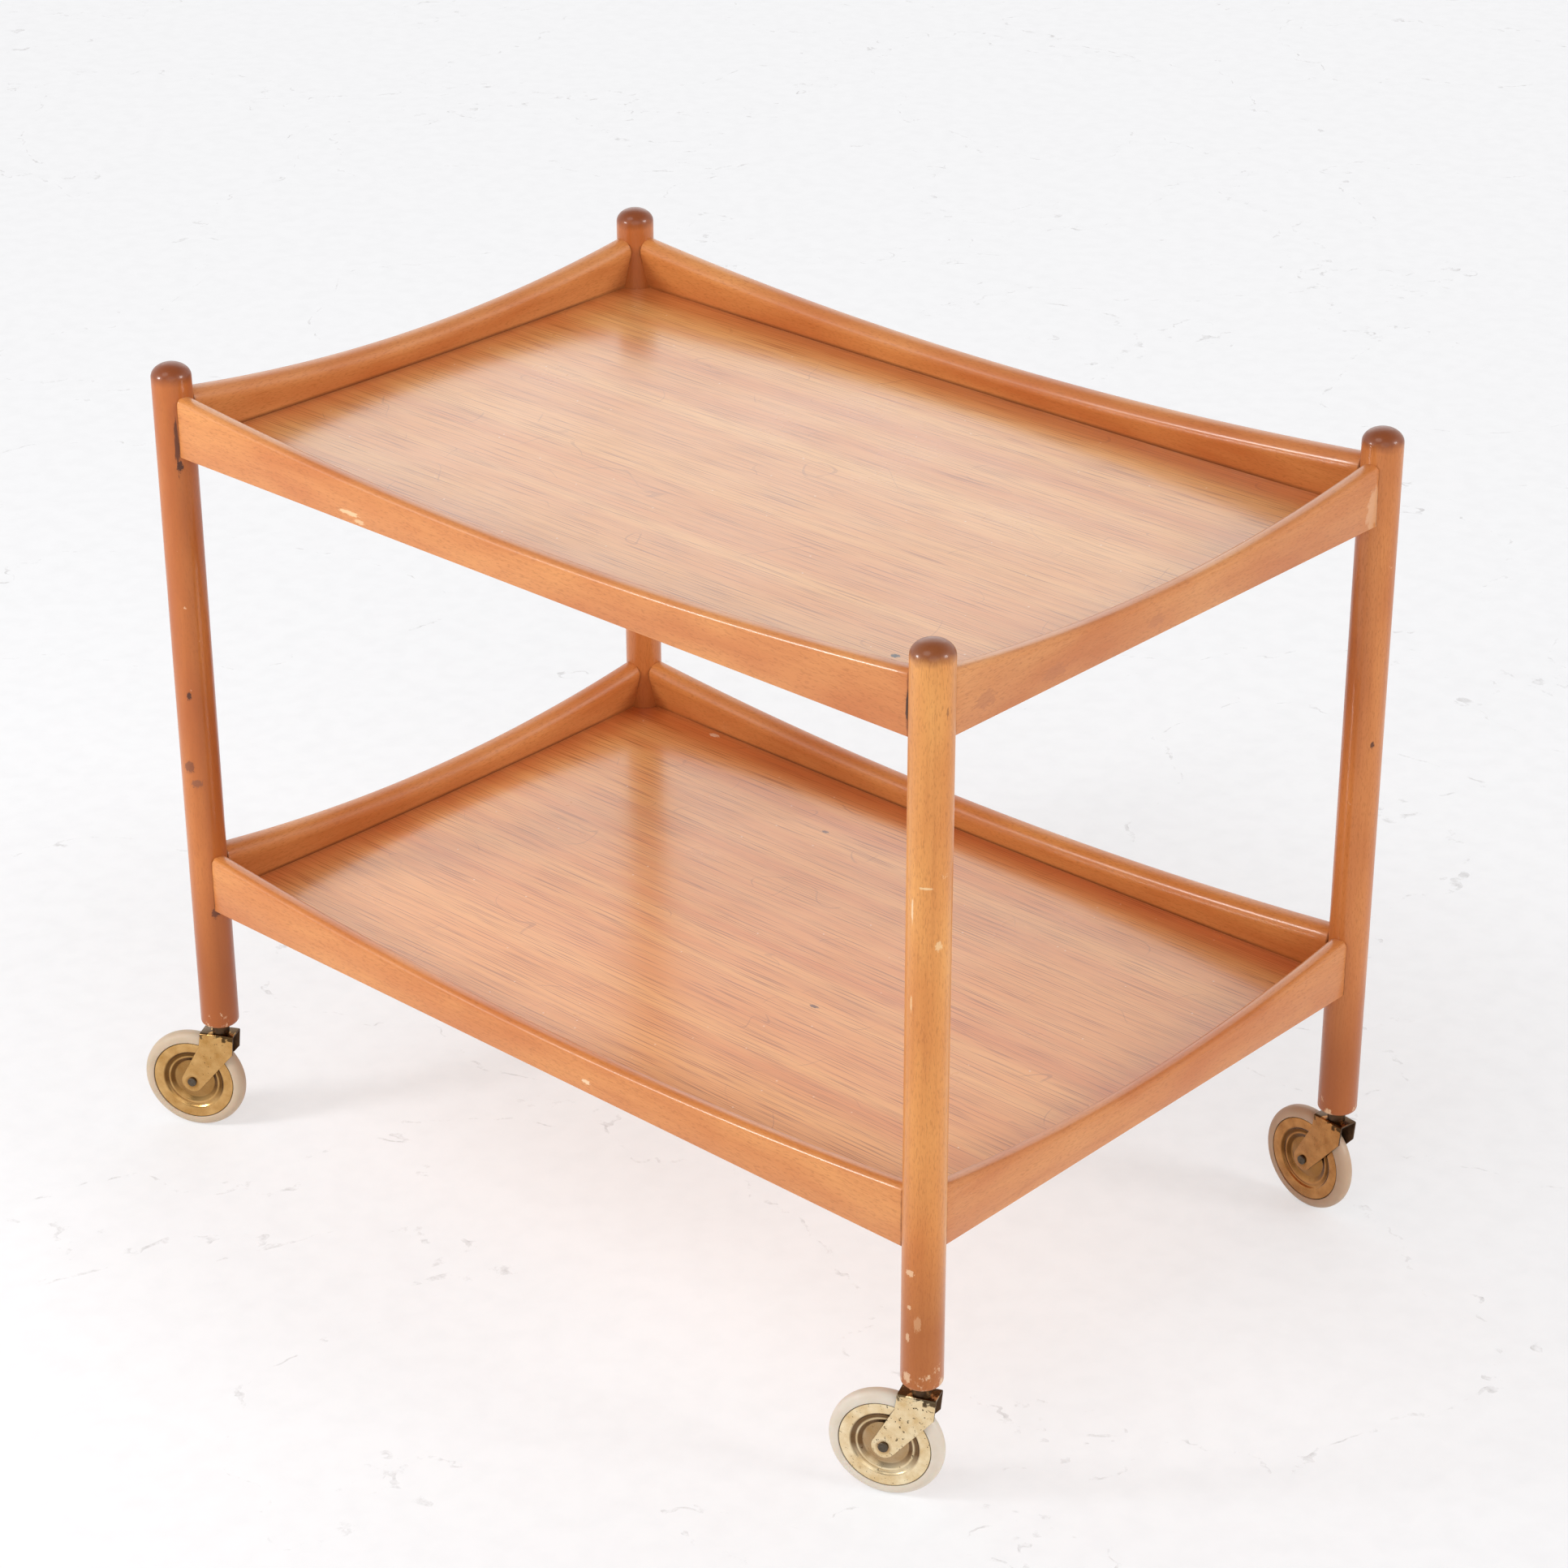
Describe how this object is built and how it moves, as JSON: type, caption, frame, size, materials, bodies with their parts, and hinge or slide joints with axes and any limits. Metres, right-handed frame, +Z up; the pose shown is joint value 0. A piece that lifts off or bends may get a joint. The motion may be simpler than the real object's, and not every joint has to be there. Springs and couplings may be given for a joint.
{
  "type": "serving trolley",
  "caption": "Two-tier wooden serving trolley with round legs, hollow-curved rails, veneered tray panels and swivelling brass disc-wheel casters.",
  "frame": {"origin": "on the floor, midway between the four leg axes", "axes": "+Z up from the floor, +X along the long side, +Y from the pictured long side to the far one"},
  "size_m": [0.7787, 0.5113, 0.6205],
  "materials": {
    "stained_beech": "semi-gloss lacquer over honey-brown stain",
    "oiled_veneer": "satin lacquered teak-like veneer",
    "plated_brass": "worn brass plate on pressed steel",
    "dark_bronze": "dark browned steel",
    "rivet_steel": "dull steel",
    "socket_steel": "plain steel tube",
    "pale_rubber": "aged pale rubber"
  },
  "bodies": {
    "frame": {"front_left_leg": "stained_beech", "front_right_leg": "stained_beech", "back_right_leg": "stained_beech", "back_left_leg": "stained_beech", "upper_front_rail": "stained_beech", "upper_right_rail": "stained_beech", "upper_back_rail": "stained_beech", "upper_left_rail": "stained_beech", "lower_front_rail": "stained_beech", "lower_right_rail": "stained_beech", "lower_back_rail": "stained_beech", "lower_left_rail": "stained_beech", "upper_tray_panel": "oiled_veneer", "lower_tray_panel": "oiled_veneer", "caster_sockets": "socket_steel"},
    "front_left_caster": {"front_left_caster_stem": "dark_bronze", "front_left_caster_fork": "plated_brass", "front_left_axle_rivet": "rivet_steel"},
    "front_left_wheel": {"front_left_hub_bush": "rivet_steel", "front_left_wheel_disc_left": "plated_brass", "front_left_wheel_disc_right": "plated_brass", "front_left_tyre": "pale_rubber"},
    "front_right_caster": {"front_right_caster_stem": "dark_bronze", "front_right_caster_fork": "plated_brass", "front_right_axle_rivet": "rivet_steel"},
    "front_right_wheel": {"front_right_hub_bush": "rivet_steel", "front_right_wheel_disc_left": "plated_brass", "front_right_wheel_disc_right": "plated_brass", "front_right_tyre": "pale_rubber"},
    "back_right_caster": {"back_right_caster_stem": "dark_bronze", "back_right_caster_fork": "plated_brass", "back_right_axle_rivet": "rivet_steel"},
    "back_right_wheel": {"back_right_hub_bush": "rivet_steel", "back_right_wheel_disc_left": "plated_brass", "back_right_wheel_disc_right": "plated_brass", "back_right_tyre": "pale_rubber"},
    "back_left_caster": {"back_left_caster_stem": "dark_bronze", "back_left_caster_fork": "plated_brass", "back_left_axle_rivet": "rivet_steel"},
    "back_left_wheel": {"back_left_hub_bush": "rivet_steel", "back_left_wheel_disc_left": "plated_brass", "back_left_wheel_disc_right": "plated_brass", "back_left_tyre": "pale_rubber"}
  },
  "joints": [
    {"name": "front_left_swivel", "type": "hinge", "parent": "frame", "child": "front_left_caster", "pos_m": [-0.35, -0.2315, 0.0925], "axis": [0, 0, 1], "continuous": true},
    {"name": "front_left_roll", "type": "hinge", "parent": "front_left_caster", "child": "front_left_wheel", "pos_m": [-0.37048, -0.24262, 0.04], "axis": [0.4772, -0.8788, 0], "continuous": true},
    {"name": "front_right_swivel", "type": "hinge", "parent": "frame", "child": "front_right_caster", "pos_m": [0.35, -0.2315, 0.0925], "axis": [0, 0, 1], "continuous": true},
    {"name": "front_right_roll", "type": "hinge", "parent": "front_right_caster", "child": "front_right_wheel", "pos_m": [0.32855, -0.2406, 0.04], "axis": [0.3907, -0.9205, 0], "continuous": true},
    {"name": "back_right_swivel", "type": "hinge", "parent": "frame", "child": "back_right_caster", "pos_m": [0.35, 0.2315, 0.0925], "axis": [0, 0, 1], "continuous": true},
    {"name": "back_right_roll", "type": "hinge", "parent": "back_right_caster", "child": "back_right_wheel", "pos_m": [0.32693, 0.23478, 0.04], "axis": [-0.1409, -0.99, 0], "continuous": true},
    {"name": "back_left_swivel", "type": "hinge", "parent": "frame", "child": "back_left_caster", "pos_m": [-0.35, 0.2315, 0.0925], "axis": [0, 0, 1], "continuous": true},
    {"name": "back_left_roll", "type": "hinge", "parent": "back_left_caster", "child": "back_left_wheel", "pos_m": [-0.37251, 0.22547, 0.04], "axis": [0.2588, -0.9659, 0], "continuous": true}
  ]
}
